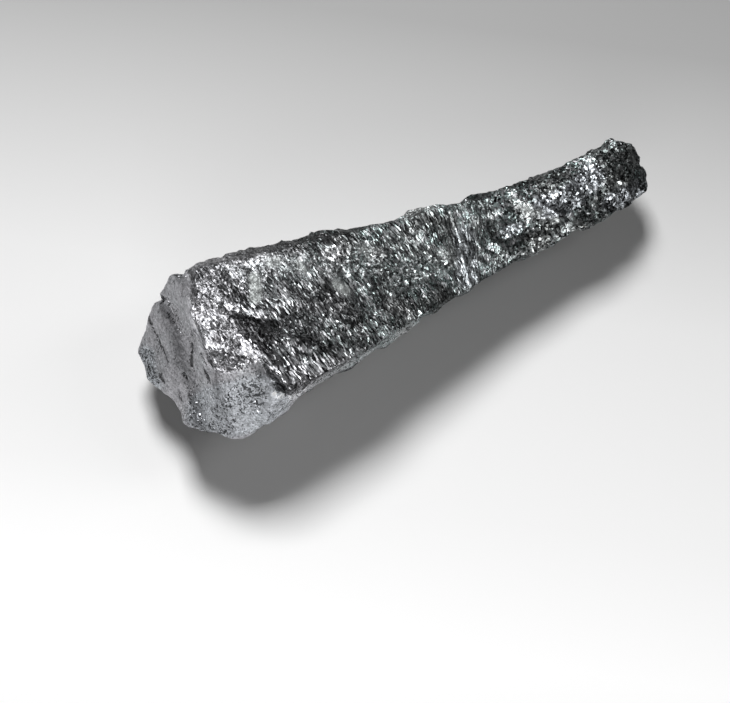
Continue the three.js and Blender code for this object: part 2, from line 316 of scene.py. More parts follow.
# Where the crystals mirror the key light. Here bright crystals turn to it more readily and stand out a
# little, and the crystals are also painted paler, as painted highlights.
GLINTS = [
    # the ridge between the broad end and the main face
    (12, 0.6, [(196, 302), (203, 322), (208, 340), (214, 360)]),
    (13, 0.45, [(214, 356), (226, 361), (242, 365)]),
    (11, 1.0, [(195, 312), (204, 323), (209, 337), (209, 348)]),
    # the crest below the gouge
    (6, 0.9, [(230, 333), (243, 341), (252, 347)]),
    (13, 1.3, [(246, 349), (254, 354), (262, 360)]),
    (9, 0.7, [(210, 356), (218, 362)]),
    (8, 1.0, [(213, 365), (222, 370)]),
    (7, 0.9, [(259, 359), (270, 366)]),
    (8, 0.8, [(273, 366), (279, 373)]),
    # the mottled ground from the ridge to the gouge
    (30, 0.13, [(214, 288), (232, 272)]),
    (14, 0.35, [(208, 318), (214, 338), (224, 352), (236, 366)]),
    (6, 0.9, [(244, 264), (257, 263)]),
    (6, 0.8, [(233, 268), (236, 275)]),
    (8, 0.8, [(243, 283), (246, 290)]),
    (5, 0.9, [(264, 272), (266, 279)]),
    (5, 0.8, [(262, 288), (263, 298)]),
    (8, 0.7, [(247, 309), (255, 312), (262, 316), (274, 316)]),
    (8, 0.6, [(230, 305), (236, 311)]),
    (8, 0.8, [(283, 290), (286, 298)]),
    (8, 0.6, [(278, 303), (290, 303)]),
    (8, 0.1, [(265, 256), (285, 262), (298, 262)]),
    (7, 0.9, [(303, 254), (304, 258)]),
    (14, 0.5, [(305, 272), (312, 281), (312, 292)]),
    # chains of bright crystals across the middle
    (12, 0.42, [(325, 246), (338, 252)]),
    (7, 0.68, [(322, 251), (333, 259)]),
    (3, 0.77, [(340, 262), (348, 273), (357, 285)]),
    (4, 0.68, [(343, 273), (351, 282), (358, 291)]),
    (8, 0.59, [(365, 288), (370, 300), (374, 312)]),
    (6, 0.59, [(366, 262), (374, 271)]),
    (5, 0.51, [(383, 282), (390, 294)]),
    (4, 0.77, [(389, 300), (400, 310)]),
    (6, 0.68, [(380, 313), (389, 319)]),
    (8, 0.68, [(411, 312), (414, 322)]),
    (14, 0.34, [(366, 238), (378, 258)]),
    (8, 0.51, [(404, 262), (414, 272)]),
    (34, 0.2, [(290, 316), (322, 320)]),
    # the long parallel streaks above the lip
    (3, 0.77, [(283, 349), (290, 360), (297, 373)]),
    (4, 0.85, [(287, 366), (293, 374), (301, 385)]),
    (3, 0.77, [(289, 350), (298, 361), (306, 374)]),
    (3, 0.68, [(300, 358), (305, 366), (311, 378)]),
    (4, 0.68, [(284, 384), (292, 390)]),
    (9, 0.59, [(286, 341), (298, 343)]),
    (7, 0.68, [(302, 348), (309, 351)]),
    (7, 0.68, [(314, 350), (318, 357)]),
    (4, 0.68, [(325, 359), (326, 368)]),
    (10, 0.42, [(344, 345), (350, 355)]),
    (5, 0.51, [(335, 320), (352, 332), (358, 338)]),
    (10, 0.34, [(385, 330), (396, 336)]),
    # bright spots below the top edge
    (5, 0.55, [(395, 216), (420, 210), (445, 206), (468, 201)]),
    (10, 0.51, [(368, 224), (377, 227)]),
    (6, 0.77, [(400, 217), (408, 214)]),
    (6, 0.5, [(402, 237), (408, 240)]),
    (7, 0.77, [(412, 232), (420, 235)]),
    (5, 0.51, [(418, 240), (414, 262)]),
    (5, 0.51, [(430, 236), (428, 262)]),
    (11, 0.59, [(429, 210), (441, 208)]),
    (4, 0.68, [(438, 212), (447, 217)]),
    (8, 0.68, [(442, 250), (446, 258)]),
    (11, 0.42, [(440, 268), (445, 284)]),
    (8, 0.51, [(425, 293), (429, 302)]),
    (9, 0.42, [(455, 282), (460, 290)]),
    # the steep bundle of fine lines
    (3, 0.9, [(451, 220), (458, 237)]),
    (3, 0.7, [(458, 220), (464, 233)]),
    (3, 0.8, [(459, 240), (461, 257)]),
    (5, 1.0, [(461, 258), (465, 272), (469, 288)]),
    (3, 0.8, [(470, 262), (477, 284)]),
    (3, 0.8, [(475, 239), (484, 256)]),
    (3, 0.7, [(467, 224), (472, 240)]),
    (4, 0.7, [(455, 262), (460, 274)]),
    # flecks towards the tip
    (9, 0.9, [(476, 263), (483, 271)]),
    (9, 1.0, [(491, 245), (497, 249)]),
    (7, 0.7, [(488, 257), (495, 264)]),
    (10, 0.7, [(501, 191), (512, 192)]),
    (11, 0.9, [(516, 200), (525, 207)]),
    (5, 0.8, [(484, 217), (500, 212)]),
    (13, 0.6, [(528, 222), (541, 219)]),
    (10, 0.9, [(547, 213), (557, 219)]),
    (12, 0.7, [(505, 234), (517, 228)]),
    (8, 1.0, [(531, 243), (535, 252)]),
    (6, 0.9, [(541, 241), (542, 248)]),
    (8, 1.2, [(564, 230), (573, 226)]),
    (5, 0.9, [(569, 214), (572, 222)]),
    (18, 0.45, [(558, 195), (572, 206)]),
    (6, 0.7, [(555, 237), (562, 233)]),
    (10, 0.5, [(490, 268), (506, 256)]),
    (6, 0.5, [(500, 262), (530, 250), (560, 238), (590, 225)]),
    (9, 1.0, [(587, 160), (594, 164)]),
    (11, 0.4, [(586, 170), (595, 171)]),
    (5, 1.0, [(597, 149), (604, 149)]),
    (5, 1.3, [(583, 179), (590, 191)]),
    (7, 1.3, [(603, 185), (608, 196)]),
    (5, 0.8, [(596, 184), (594, 198)]),
    (10, 1.2, [(613, 199), (620, 206)]),
    (6, 1.2, [(620, 184), (624, 183)]),
    (6, 1.0, [(624, 190), (628, 197)]),
    (7, 1.2, [(636, 191), (641, 197)]),
    (5, 0.7, [(580, 173), (584, 178)]),
    (5, 0.6, [(609, 137), (614, 142)]),
]
# Painted shade: where the crystals are painted darker, fewer of them are bright, and the surface sinks a
# little.
PAINTED_SHADOWS = [
    # the gouge and the dark strip that runs on from it
    (6, 1.4, [(227, 313), (238, 317), (254, 321), (274, 324)]),
    (13, 1.2, [(243, 322), (258, 329), (268, 331)]),
    (14, 1.4, [(255, 333), (268, 341)]),
    (11, 1.3, [(263, 344), (270, 351)]),
    (5, 1.3, [(267, 353), (276, 364)]),
    (6, 1.2, [(262, 360), (272, 374), (284, 390)]),
    # the top edge
    (11, 0.6, [(240, 253), (259, 252)]),
    (22, 0.9, [(270, 246), (316, 240)]),
    (14, 1.0, [(316, 240), (345, 236), (366, 232)]),
    (4, 0.4, [(362, 228), (398, 216)]),
    (6, 0.8, [(470, 199), (495, 193), (540, 178)]),
    (7, 0.7, [(448, 208), (480, 203)]),
    (8, 0.6, [(536, 184), (572, 176)]),
    # dark ground between the chains
    (66, 0.4, [(335, 288), (390, 300)]),
    (34, 0.2, [(420, 262), (440, 292)]),
    (14, 0.64, [(264, 264), (280, 275), (294, 288), (306, 298)]),
    (10, 1.0, [(243, 298), (247, 302)]),
    (8, 0.48, [(246, 270), (243, 279)]),
    (10, 0.64, [(320, 246), (326, 270)]),
    (8, 0.56, [(336, 266), (339, 274)]),
    (14, 0.56, [(324, 290), (340, 301)]),
    (14, 0.35, [(306, 337), (322, 341)]),
    (30, 0.25, [(350, 300), (354, 326)]),
    (26, 0.44, [(384, 268), (412, 276)]),
    (8, 0.64, [(384, 303), (395, 322)]),
    (13, 0.56, [(431, 302), (446, 298)]),
    (12, 0.4, [(424, 248), (422, 268)]),
    (13, 0.4, [(432, 224), (441, 242)]),
    (14, 0.4, [(345, 345), (372, 332)]),
    (12, 0.4, [(300, 312), (312, 325)]),
    # towards the tip
    (9, 0.9, [(479, 207), (485, 213)]),
    (15, 0.7, [(486, 226), (495, 235)]),
    (10, 0.4, [(507, 243), (516, 247)]),
    (7, 0.8, [(523, 235), (527, 250)]),
    (12, 1.2, [(553, 174), (579, 172)]),
    (13, 0.8, [(577, 219), (588, 222)]),
    (10, 0.6, [(544, 190), (552, 186)]),
    (10, 0.6, [(560, 212), (566, 208)]),
    (14, 0.8, [(603, 207), (619, 209)]),
    (32, 1.3, [(612, 161), (634, 166)]),
    (14, 1.2, [(602, 146), (606, 168)]),
    (15, 1.0, [(612, 186), (636, 182)]),
]
GRAINY = [
    # where the crystals are grains and not streaks
    (44, 0.55, [(205, 262), (212, 300), (222, 345), (238, 366)]),
    (26, 0.6, [(222, 270), (262, 262), (300, 262)]),
    (30, 1.0, [(338, 262), (372, 262)]),
    (26, 1.0, [(400, 280), (440, 262)]),
]
LINED = [
    # where the streaks are long and thin
    (44, 1.0, [(288, 368), (330, 352)]),
    (26, 0.8, [(346, 268), (366, 300)]),
    (30, 0.8, [(458, 222), (474, 280)]),
]
PATCHES = [
    # small smooth patches of an even grey
    (12, 1.0, [(254, 278), (256, 290), (255, 298)]),
    (9, 0.7, [(270, 263), (277, 261)]),
    (8, 0.7, [(299, 264), (304, 270)]),
    (10, 1.0, [(336, 284), (346, 291)]),
    (8, 0.6, [(363, 248), (368, 257)]),
    (9, 0.7, [(528, 212), (538, 212)]),
]
PITS = [
    # faint specks on the broad end, its corner and the lip
    (10, 0.12, [(270, 412), (315, 386), (350, 364), (384, 343), (430, 314)]),
    (14, 0.14, [(224, 404), (230, 424), (222, 434)]),
    (26, 0.12, [(246, 376), (256, 390), (236, 398)]),
    (24, 0.08, [(200, 392), (210, 420)]),
    (16, 0.18, [(186, 414), (206, 428)]),
    (14, 0.25, [(146, 356), (152, 384)]),
    (6, 0.2, [(166, 302), (176, 320), (182, 334)]),
    (10, 0.15, [(176, 272), (186, 270)]),
    # dark dashes and pits on the broad end and its corner
    (1.6, 0.9, [(156, 334), (162, 346), (168, 362)]),
    (2, 0.7, [(158, 340), (163, 350)]),
    (2.5, 0.8, [(149, 317), (151, 324)]),
    (1.6, 0.8, [(153, 328), (155, 332)]),
    (3, 0.95, [(192, 352), (191, 360), (192, 366)]),
    (1.5, 0.8, [(193, 345), (192, 352)]),
    (1.5, 0.8, [(192, 366), (194, 372)]),
    (5, 0.4, [(194, 332), (192, 343)]),
    (1.6, 0.85, [(201, 353), (206, 365)]),
    (2.6, 0.9, [(206, 373), (209, 381)]),
    (1.5, 0.8, [(203, 369), (206, 373)]),
    (2.4, 0.85, [(160, 374), (164, 383)]),
    (1.6, 0.85, [(178, 390), (182, 402)]),
    (1.6, 0.8, [(184, 373), (187, 379)]),
    (1.8, 0.8, [(188, 391), (191, 404)]),
    (3, 0.55, [(158, 301), (165, 299)]),
    (4, 0.4, [(167, 313), (172, 322)]),
    (3, 0.9, [(246, 397), (262, 394)]),
    (3, 0.8, [(250, 403), (262, 404)]),
    (4, 0.8, [(243, 385), (250, 391)]),
    (4, 0.8, [(251, 383), (258, 388)]),
    (3, 0.7, [(228, 399), (231, 399)]),
    (3, 0.6, [(240, 408), (243, 413)]),
    (3, 0.8, [(219, 435), (226, 431)]),
    (3, 0.7, [(207, 432), (212, 437)]),
]
COOL = [
    # the corner and the far edge of the broad end, painted paler as painted light and tinted bluish, and
    # bluish flecks towards the tip
    (56, 0.7, [(214, 414), (262, 402)]),
    (16, 1.0, [(146, 354), (148, 370), (153, 386)]),
    (26, 0.9, [(545, 206), (568, 200), (592, 176)]),
    (20, 1.0, [(612, 202), (640, 190)]),
    (22, 0.7, [(464, 236), (468, 278)]),
    (14, 0.8, [(506, 232), (516, 228)]),
]
PAINTED_LIGHT_STRIPS = [
    # steep strips along the edges, painted pale all the same, as painted light
    (9, 0.65, [(189, 264), (191, 285), (192, 312), (198, 328)]),
    (7, 0.4, [(201, 335), (204, 350)]),
    (10, 0.6, [(207, 362), (222, 369), (240, 368), (252, 363)]),
    (9, 0.6, [(276, 394), (292, 396), (306, 391)]),
    (12, 1.0, [(236, 254), (263, 248)]),
    (9, 0.7, [(263, 248), (290, 243)]),
    (9, 0.9, [(186, 272), (200, 262), (232, 255)]),
]
SPARKS = [
    # small bright grains in the smooth broken end, painted as highlights where they can't turn to the key
    # light
    (16, 1.0, [(146, 354), (147, 370), (152, 386)]),
    (7, 0.7, [(170, 304), (178, 322), (184, 334)]),
    (8, 0.7, [(188, 388), (194, 398)]),
    (12, 0.4, [(186, 408), (200, 420), (214, 426)]),
    (26, 0.2, [(222, 398), (228, 420)]),
    (6, 0.5, [(166, 366), (172, 372)]),
    (12, 0.4, [(222, 386), (240, 398), (256, 408)]),
    (8, 0.3, [(172, 278), (190, 272)]),
]
GROOVES = [
    # from a notch in the outline down between the two levels of the broad end, and a nick above it
    (7, 1.8, [(146, 294), (159, 299)]),
    (6, 0.7, [(159, 299), (169, 314)]),
    (5, 0.35, [(169, 314), (182, 335)]),
    (5, 0.8, [(176, 266), (182, 272)]),
]
# The strokes that mark each zone of the surface, and the pixels over which they fade at their edges.
STROKES = {
    "glint": (GLINTS, 1.6),
    "shadow": (PAINTED_SHADOWS, 1.6),
    "grainy": (GRAINY, 8.0),
    "lined": (LINED, 6.0),
    "patch": (PATCHES, 2.5),
    "pit": (PITS, 1.0),
    "pale": (PAINTED_LIGHT_STRIPS, 2.5),
    "spark": (SPARKS, 2.5),
    "cool": (COOL, 4.0),
}
GROOVE_FADE = 2.0
SEEN_SLANTS = (0.0, 0.2)  # the strokes fade out where the surface turns away from the camera
# The smooth broken end changes to the main face over END_FADE pixels on each side of MAIN_FACE_EDGE, and
# fades out where the surface turns down.
SIDE_OF_END = -1  # the side of MAIN_FACE_EDGE on which the broad end and the lip lie
END_FADE = 4
END_SLANTS = (-0.35, 0.0)
SKIN_SLANTS = (0.75, 0.95)  # the cast skin is on what faces straight down
# The lip below the main face is a strip of the same smooth metal as the broad end.
LIP_FROM = 285
LIP_FULL = 312
LIP_END = (418, 436)
LIP_WIDTH = 5
LIP_FADE = 4
LIP_SHARE = 0.64
LIP_OVERLAP = 3


def frame_places(points):
    """Where points of the drawing are in the frame, in its pixels."""
    back = np.array(direction(CAMERA_AZIMUTH, CAMERA_ELEVATION))
    right = np.array(direction(CAMERA_AZIMUTH + math.pi / 2, 0))
    up = np.cross(back, right)
    offset = points + DRAWING_ORIGIN - CAMERA_TARGET
    scale = CAMERA_LENS / SENSOR_WIDTH * FRAME_WIDTH / (CAMERA_DISTANCE - offset @ back)
    across = FRAME_WIDTH / 2 + offset @ right * scale
    down = FRAME_HEIGHT / 2 - offset @ up * scale
    return np.stack([across, down], 1)


def nearest_on_line(places, line):
    """The distance of places in the frame to a line of straight stretches, and the side that they lie on,
    which is 1 on its left hand and -1 on its right."""
    best = np.full(len(places), np.inf)
    side = np.zeros(len(places))
    line = np.array(line, float)
    for start, end in zip(line, line[1:]):
        along = end - start
        offset = places - start
        share = np.clip((offset @ along) / (along @ along), 0, 1)
        distance = np.linalg.norm(offset - share[:, None] * along, axis=1)
        closer = distance < best
        best = np.where(closer, distance, best)
        side = np.where(closer, np.sign(offset[:, 0] * along[1] - offset[:, 1] * along[0]), side)
    return best, side


def stroked(places, strokes, fade):
    """How strongly a set of strokes marks each place."""
    total = np.zeros(len(places))
    for width, share, line in strokes:
        distance, _ = nearest_on_line(places, line)
        total = np.maximum(total, share * (1 - smoothstep(distance, width / 2 - fade, width / 2 + fade)))
    return total


def end_share(places, normals):
    """The share of the smooth broken end, its corner and the lip, which fades over some pixels."""
    distance, side = nearest_on_line(places, MAIN_FACE_EDGE)
    outside = distance * side * SIDE_OF_END
    along_lip = smoothstep(places[:, 0], LIP_FROM, LIP_FULL)
    strip = 1 - smoothstep(outside, LIP_WIDTH, LIP_WIDTH + LIP_FADE)
    kept = 1 - along_lip * (1 - LIP_SHARE * strip * (1 - smoothstep(places[:, 0], *LIP_END)))
    outside = outside + LIP_OVERLAP * along_lip
    return smoothstep(outside, -END_FADE, END_FADE) * smoothstep(normals[:, 2], *END_SLANTS) * kept


def zones_of(points, normals):
    """The share that each point has in each zone of the surface."""
    places = frame_places(points)
    seen = smoothstep(normals @ np.array(direction(CAMERA_AZIMUTH, CAMERA_ELEVATION)), *SEEN_SLANTS)
    zones = {name: stroked(places, strokes, fade) * seen for name, (strokes, fade) in STROKES.items()}
    zones["groove"] = stroked(places, GROOVES, GROOVE_FADE)
    zones["end"] = end_share(places, normals)
    zones["skin"] = smoothstep(-normals[:, 2], *SKIN_SLANTS)
    zones["tip"] = smoothstep(points[:, 0], TIP_FROM, TIP_FULL)
    return zones


# ---------------------------------------------------------------- the fine mesh
WELD_DISTANCE = 1e-4
SPLITS = 3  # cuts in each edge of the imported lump
BED_HEIGHT = 0.05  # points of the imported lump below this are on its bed, and stay where they are
SMOOTH_ROUNDS = 6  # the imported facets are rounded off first, the more in the smooth broken end
ROUGH_SMOOTHING = 0.45
END_SMOOTHING = 0.6
LIE_ROUNDS = 100  # rounds in which the lie of the crystals is averaged over the facets around them
LIE_SHARE = 0.8
WALL_LIMITS = (0.15, 0.5)  # upward slants between which the surface turns from a wall to a face
TINY = 1e-6
# The layers of crystals that stand out of the surface: how long, wide and high they are, the seed of
# their random numbers, and how strongly they stand out, all but the seed in millimetres.
LAYERS = {
    "coarse": ((3.8, 1.4, 1.4), 101, 0.11),
    "fine": ((1.7, 0.7, 0.7), 131, 0.07),
    "blocks": ((1.9, 1.9, 1.9), 161, 0.24),
    "crumbs": ((0.9, 0.9, 0.9), 191, 0.11),
    "fibres": ((4.0, 1.0, 1.0), 221, 0.08),
}
GLINT_HEIGHT = 0.12
SHADOW_DEPTH = 0.2
PIT_DEPTH = 0.1
GROOVE_DEPTH = 0.9


def layer(name, places):
    """How far one layer of crystals stands out at each place."""
    size, seed, height = LAYERS[name]
    return height * flats(places / size, seed)


def relief(points, zones):
    """How far each point of the surface stands out, in millimetres."""
    lay = lay_coordinates(points)
    rough = (1 - zones["end"]) * (1 - zones["skin"])
    height = rough * (1 - zones["tip"]) * (layer("coarse", lay) + layer("fine", lay))
    height += rough * zones["tip"] * (layer("blocks", points) + layer("crumbs", points))
    height += zones["end"] * layer("fibres", lay)
    height += zones["glint"] * GLINT_HEIGHT - zones["shadow"] * SHADOW_DEPTH - zones["pit"] * PIT_DEPTH
    return height - zones["groove"] * GROOVE_DEPTH


def smoothed(values, edges, share, rounds):
    """Moves the value at each point towards the mean of its neighbours, as far as its share says."""
    ends = edges.ravel()
    others = edges[:, ::-1].ravel()
    count = np.bincount(ends, minlength=len(values))
    for _ in range(rounds):
        total = [np.bincount(ends, column[others], len(values)) for column in values.T]
        values = values + (np.stack(total, 1) / count[:, None] - values) * share[:, None]
    return values


def mean_lie(normals, edges, part):
    """The mean way that the part of the surface around each point faces. It is short near the walls."""
    facing_up = smoothstep(normals[:, 2], *WALL_LIMITS)
    values = np.column_stack([normals * (facing_up * part)[:, None], part])
    total = smoothed(values, edges, np.full(len(part), LIE_SHARE), LIE_ROUNDS)
    return total[:, :3] / (total[:, 3:] + TINY)


def crystal_lie(normals, edges, end):
    """The lie of the crystals, averaged apart in the smooth end and in the rough faces."""
    rough = mean_lie(normals, edges, 1 - end)
    smooth = mean_lie(normals, edges, end)
    return rough + (smooth - rough) * end[:, None]


def mesh_points(mesh):
    values = np.zeros(len(mesh.vertices) * 3)
    mesh.vertices.foreach_get("co", values)
    return values.reshape(-1, 3) / MM - DRAWING_ORIGIN


def place_points(mesh, points):
    mesh.vertices.foreach_set("co", ((points + DRAWING_ORIGIN) * MM).ravel())
    mesh.update()


def mesh_normals(mesh):
    values = np.zeros(len(mesh.vertices) * 3, np.float32)
    mesh.vertex_normals.foreach_get("vector", values)
    return values.reshape(-1, 3).astype(float)


def mesh_edges(mesh):
    values = np.zeros(len(mesh.edges) * 2, np.int32)
    mesh.edges.foreach_get("vertices", values)
    return values.reshape(-1, 2)


def keep_attribute(mesh, name, values):
    kind = "FLOAT_VECTOR" if values.ndim == 2 else "FLOAT"
    made = mesh.attributes.new(name, kind, "POINT")
    made.data.foreach_set("vector" if values.ndim == 2 else "value", values.astype(np.float32).ravel())


def split_mesh(packed):
    """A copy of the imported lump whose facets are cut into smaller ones."""
    bm = bmesh.new()
    bm.from_mesh(packed.data)
    bmesh.ops.remove_doubles(bm, verts=bm.verts, dist=WELD_DISTANCE * MM)
    bmesh.ops.subdivide_edges(bm, edges=bm.edges, cuts=SPLITS, use_grid_fill=True)
    bmesh.ops.triangulate(bm, faces=bm.faces)
    mesh = bpy.data.meshes.new("lump")
    bm.to_mesh(mesh)
    bm.free()
    return mesh


def fine_lump(packed):
    """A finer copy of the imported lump, broken into crystals."""
    mesh = split_mesh(packed)
    edges = mesh_edges(mesh)
    packed_points = mesh_points(mesh)
    on_bed = packed_points[:, 2] < BED_HEIGHT
    zones = zones_of(packed_points, mesh_normals(mesh))
    softness = ROUGH_SMOOTHING + (END_SMOOTHING - ROUGH_SMOOTHING) * zones["end"]
    points = smoothed(packed_points, edges, softness * ~on_bed, SMOOTH_ROUNDS)
    place_points(mesh, points)
    normals = mesh_normals(mesh)
    points = points + normals * relief(points, zones)[:, None]
    points[on_bed] = packed_points[on_bed]
    points[:, 2] = np.maximum(points[:, 2], 0)
    place_points(mesh, points)
    keep_attribute(mesh, "grain", lay_coordinates(packed_points))
    keep_attribute(mesh, "place", packed_points)
    keep_attribute(mesh, "lie", crystal_lie(normals, edges, zones["end"]))
    for name in ZONES:
        keep_attribute(mesh, name, zones[name])
    mesh.polygons.foreach_set("use_smooth", np.zeros(len(mesh.polygons), bool))
    return mesh


# ---------------------------------------------------------------- silicon
ZONES = ("end", "skin", "tip", *STROKES)  # those that the metal reads
# Noises and cells are laid out along the crystals, beside them and up ("grain"), or along the lump, across
# it and up ("place"). Each noise: about how wide its spots are, in millimetres, its detail and its
# roughness.
NOISES = {
    "wave": ((3.0, 3.0, 3.0), 2.0, 0.5),
    "fine": ((0.9, 0.3, 0.3), 3.0, 0.7),
    "jags": ((0.6, 0.6, 0.6), 2.0, 0.5),
    "border": ((2.2, 0.9, 0.9), 4.0, 0.7),
    "bright streaks": ((5.0, 1.6, 1.6), 4.0, 0.65),
    "bright blocks": ((3.2, 3.2, 3.2), 4.0, 0.65),
    "fibres": ((3.5, 0.35, 0.35), 3.0, 0.6),
    "strata": ((1.6, 5.0, 5.0), 2.0, 0.5),
    "mottles": ((0.7, 6.0, 6.0), 2.0, 0.5),
    "hues": ((7.0, 7.0, 7.0), 1.0, 0.5),
}
STREAK_SIZE = (1.5, 0.22, 0.22)
LINE_SIZE = (4.0, 0.3, 0.3)
FLECK_SIZE = (0.5, 0.5, 0.5)
SPECK_SIZE = (0.27, 0.27, 0.27)
JAG_DEPTH = 1.1
GRAINS_OF_SPECKS = 0.55  # the share that the specks have in the chances of the grains
# Where four numbers are named below, the first two are a range that is turned into the other two.
# Of a crystal's three chances, the first says whether it is bright, the second how grey it is, and the
# third how rough it is and which hue it has. The specks' three say how grey they are, and whether they
# are dark, as in a pit, or sparkle.
BRIGHT_CHANCE = (0.38, 0.68, -0.07, 0.24)
# The glint strokes make more crystals bright and the shadow strokes fewer, which in part paints highlight
# and shade into them.
BRIGHT_GAINS = {"tip": 0.05, "glint": 0.46, "shadow": -0.45}
BRIGHT_EDGE = (-0.07, 0.07)
# The smooth end breaks up into crystals along its border, and grains sparkle in it.
BORDER_RAGGEDNESS = 2.4
BORDER_EDGE = (0.44, 0.56)
SPARK_CHANCE = 0.012
SPARK_GAIN = 0.5
SPECK_EDGE = (-0.02, 0.02)
# The slant at which a crystal mirrors the key light to the front and above. Bright crystals turn to it
# where the surface lies near enough, and in the glints also where it lies a little further off.
GLINT_SLANT = (direction(CAMERA_AZIMUTH, CAMERA_ELEVATION) + direction(*KEY_DIRECTION)).normalized()
NEAR_SLANTS = (0.5, 0.75)
NEAR_GAIN = 0.18
LIE_WEIGHT = 2.0
MOST_TURN = 0.85
# How far the crystals lean to their own slants.
DARK_LEAN = 0.75
BRIGHT_LEAN = 0.5
SMOOTH_LEAN = 0.16
# The greys of the metal: what it gives back of the light.
DARK_CURVE = 1.5
DARK_GREYS = (0.01, 0.285)
# In the shadow strokes the dark crystals are painted darker, as painted shade, and in the glint strokes
# paler, as painted highlight.
DARK_GAINS = {"shadow": -0.4, "glint": 1.5, "grainy": 0.75}
TURNED_GREYS = (0.11, 0.34)
# Painted highlight: bright crystals that can't turn to the key light are painted this much paler.
PAINTED_HIGHLIGHT_GREYS = (0.3, 0.95)
BRIGHT_GRAIN_GAIN = -0.35
FINE_GREYS = (0.3, 0.7, 0.15, 1.78)
FIBRE_GREYS = (0.3, 0.7, 0.3, 0.58)
# Painted light: how much paler the cool strokes paint the smooth end.
COOL_PAINTED_LIGHT_GAIN = 0.36
PATCH_GREY = 0.22
SPECK_GREYS = (0.67, 1.33)
PIT_CHANCE = 0.02
PIT_GAIN = 1.1
PIT_GREYS = (0.2, 1.0)
STRATA_GREYS = (0.35, 0.65, 0.72, 1.3)
MOTTLE_GAINS = (0.4, 0.62, 0.1, 1.7)
# The hues of the crystals are faint up to HUE_FROM along the lump and full from HUE_FULL on.
HUE_FROM = -38
HUE_FULL = 5
LEAST_HUE = 0.15
TEAL_REGIONS = (0.35, 0.6)
HUE_CHANCES = (0.2, 0.8)
TEAL = (0.8, 1.02, 1.0, 1)
VIOLET = (0.99, 0.99, 1.03, 1)
PLAIN_AT_END = (0.988, 0.97, 1.03, 1)
PLAIN_AT_TIP = (0.97, 1.01, 1.005, 1)
COOL_TINT = (0.95, 1.0, 1.06, 1)
PATCH_TINT = (0.96, 1.01, 1.0, 1)
SKIN_COLOUR = (0.21, 0.20, 0.185, 1)
# How rough the metal is.
DARK_ROUGHNESS = (0.32, 0.57)
BRIGHT_ROUGHNESS = 0.42
SMOOTH_ROUGHNESS = 0.48
SKIN_ROUGHNESS = 0.65


def noise(tree, place, name, output=0):
    """A random number about 0.5, or as output "Color" three of them, whose spots are as NOISES says."""
    size, detail, roughness = NOISES[name]
    spot = vector_maths(tree, "DIVIDE", place, size)
    values = {"Vector": spot, "Scale": 1.0, "Detail": detail, "Roughness": roughness}
    return node(tree, "ShaderNodeTexNoise", {"noise_dimensions": "3D"}, **values).outputs[output]


def cells(tree, place, size):
    """Random cells of about the given size: three random numbers for each, and three more."""
    spot = vector_maths(tree, "DIVIDE", place, size)
    first = node(tree, "ShaderNodeTexVoronoi", Vector=spot, Scale=1.0).outputs["Color"]
    second = node(tree, "ShaderNodeTexWhiteNoise", {"noise_dimensions": "3D"}, Vector=first)
    return first, second.outputs["Color"]


def separate(tree, colour):
    return node(tree, "ShaderNodeSeparateColor", Color=colour).outputs


def grey_colour(tree, grey):
    return node(tree, "ShaderNodeCombineColor", Red=grey, Green=grey, Blue=grey).outputs[0]


def bent_grain(tree, grain, place):
    """The place along and across the crystals, which wave a little."""
    return vector_maths(tree, "ADD", grain, centred(tree, noise(tree, place, "wave", "Color")))


def crystal_cells(tree, bent, place, zone, blocky):
    """The crystals are streaks, longer ones in the lined zone, and flecks with jagged borders where they
    are blocky. Gives the slant and the chances of each, and the chances of the finer specks."""
    streaks, streak_chances = cells(tree, bent, STREAK_SIZE)
    lines, line_chances = cells(tree, bent, LINE_SIZE)
    streaks = mixed_colour(tree, zone["lined"], streaks, lines)
    streak_chances = mixed_colour(tree, zone["lined"], streak_chances, line_chances)
    jags = scaled(tree, centred(tree, noise(tree, place, "jags", "Color")), JAG_DEPTH)
    flecks, fleck_chances = cells(tree, vector_maths(tree, "ADD", place, jags), FLECK_SIZE)
    _, specks = cells(tree, place, SPECK_SIZE)
    grains = product(tree, zone["grainy"], GRAINS_OF_SPECKS)
    fleck_chances = mixed_colour(tree, grains, fleck_chances, specks)
    slant = centred(tree, mixed_colour(tree, blocky, streaks, flecks))
    chances = separate(tree, mixed_colour(tree, blocky, streak_chances, fleck_chances))
    return slant, chances, separate(tree, specks)


def end_and_sparks(tree, bent, zone, chance):
    """The smooth end with its ragged border, and the grains that sparkle."""
    ragged = maths(tree, "SUBTRACT", noise(tree, bent, "border"), 0.5)
    end = maths(tree, "MULTIPLY_ADD", ragged, BORDER_RAGGEDNESS, zone["end"])
    sparkle = maths(tree, "MULTIPLY_ADD", zone["spark"], SPARK_GAIN, SPARK_CHANCE)
    spark = spread(tree, maths(tree, "SUBTRACT", sparkle, chance), *SPECK_EDGE)
    return spread(tree, end, *BORDER_EDGE), spark


def bright_share(tree, bent, place, zone, blocky, chance):
    """How bright each crystal of the rough faces is."""
    streaks = noise(tree, bent, "bright streaks")
    blocks = noise(tree, place, "bright blocks")
    limit = spread(tree, mixed(tree, blocky, streaks, blocks), *BRIGHT_CHANCE)
    for name, gain in BRIGHT_GAINS.items():
        limit = maths(tree, "MULTIPLY_ADD", zone[name], gain, limit)
    return spread(tree, maths(tree, "SUBTRACT", limit, chance), *BRIGHT_EDGE)


def mean_normal(tree):
    """How the surface lies: between its facet and the mean around that, which counts for more."""
    facet = node(tree, "ShaderNodeNewGeometry").outputs["Normal"]
    lie = scaled(tree, attribute(tree, "lie", "Vector"), LIE_WEIGHT)
    return vector_maths(tree, "NORMALIZE", vector_maths(tree, "ADD", facet, lie))


